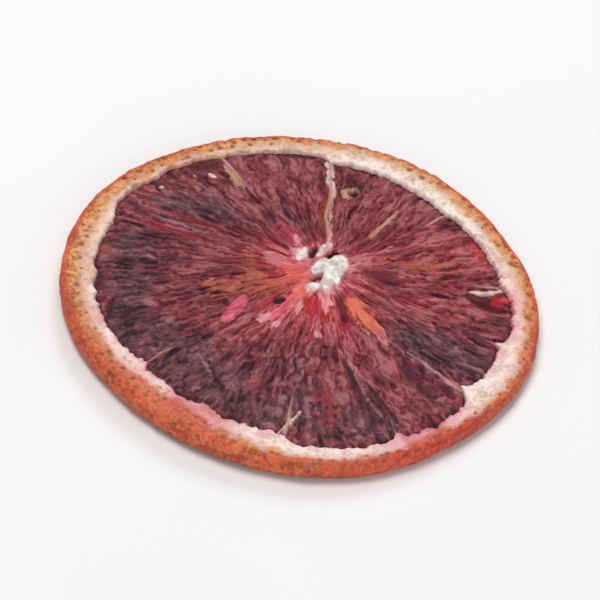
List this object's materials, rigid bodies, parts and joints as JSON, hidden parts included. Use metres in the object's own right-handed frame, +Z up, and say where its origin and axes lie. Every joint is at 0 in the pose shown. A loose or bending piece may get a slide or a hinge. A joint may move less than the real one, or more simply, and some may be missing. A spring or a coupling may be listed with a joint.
{
  "type": "dried blood orange slice",
  "caption": "Round dried blood orange slice that lies flat: ring of rind and pith round thin sunken flesh with membranes and an off-centre core.",
  "frame": {"origin": "middle of the slice's footprint, on the surface that it lies on", "axes": "+Z up out of the cut face that shows; X and Y lie in the slice, with the core towards +Y and a little towards +X of the middle"},
  "size_m": [0.0582, 0.059, 0.0033],
  "materials": {
    "dried_flesh": "dark maroon dried flesh, uneven satin gloss",
    "dried_rind": "pebbly orange rind and cream pith, matt"
  },
  "bodies": {
    "root": {"slice": "dried_flesh"}
  },
  "joints": []
}
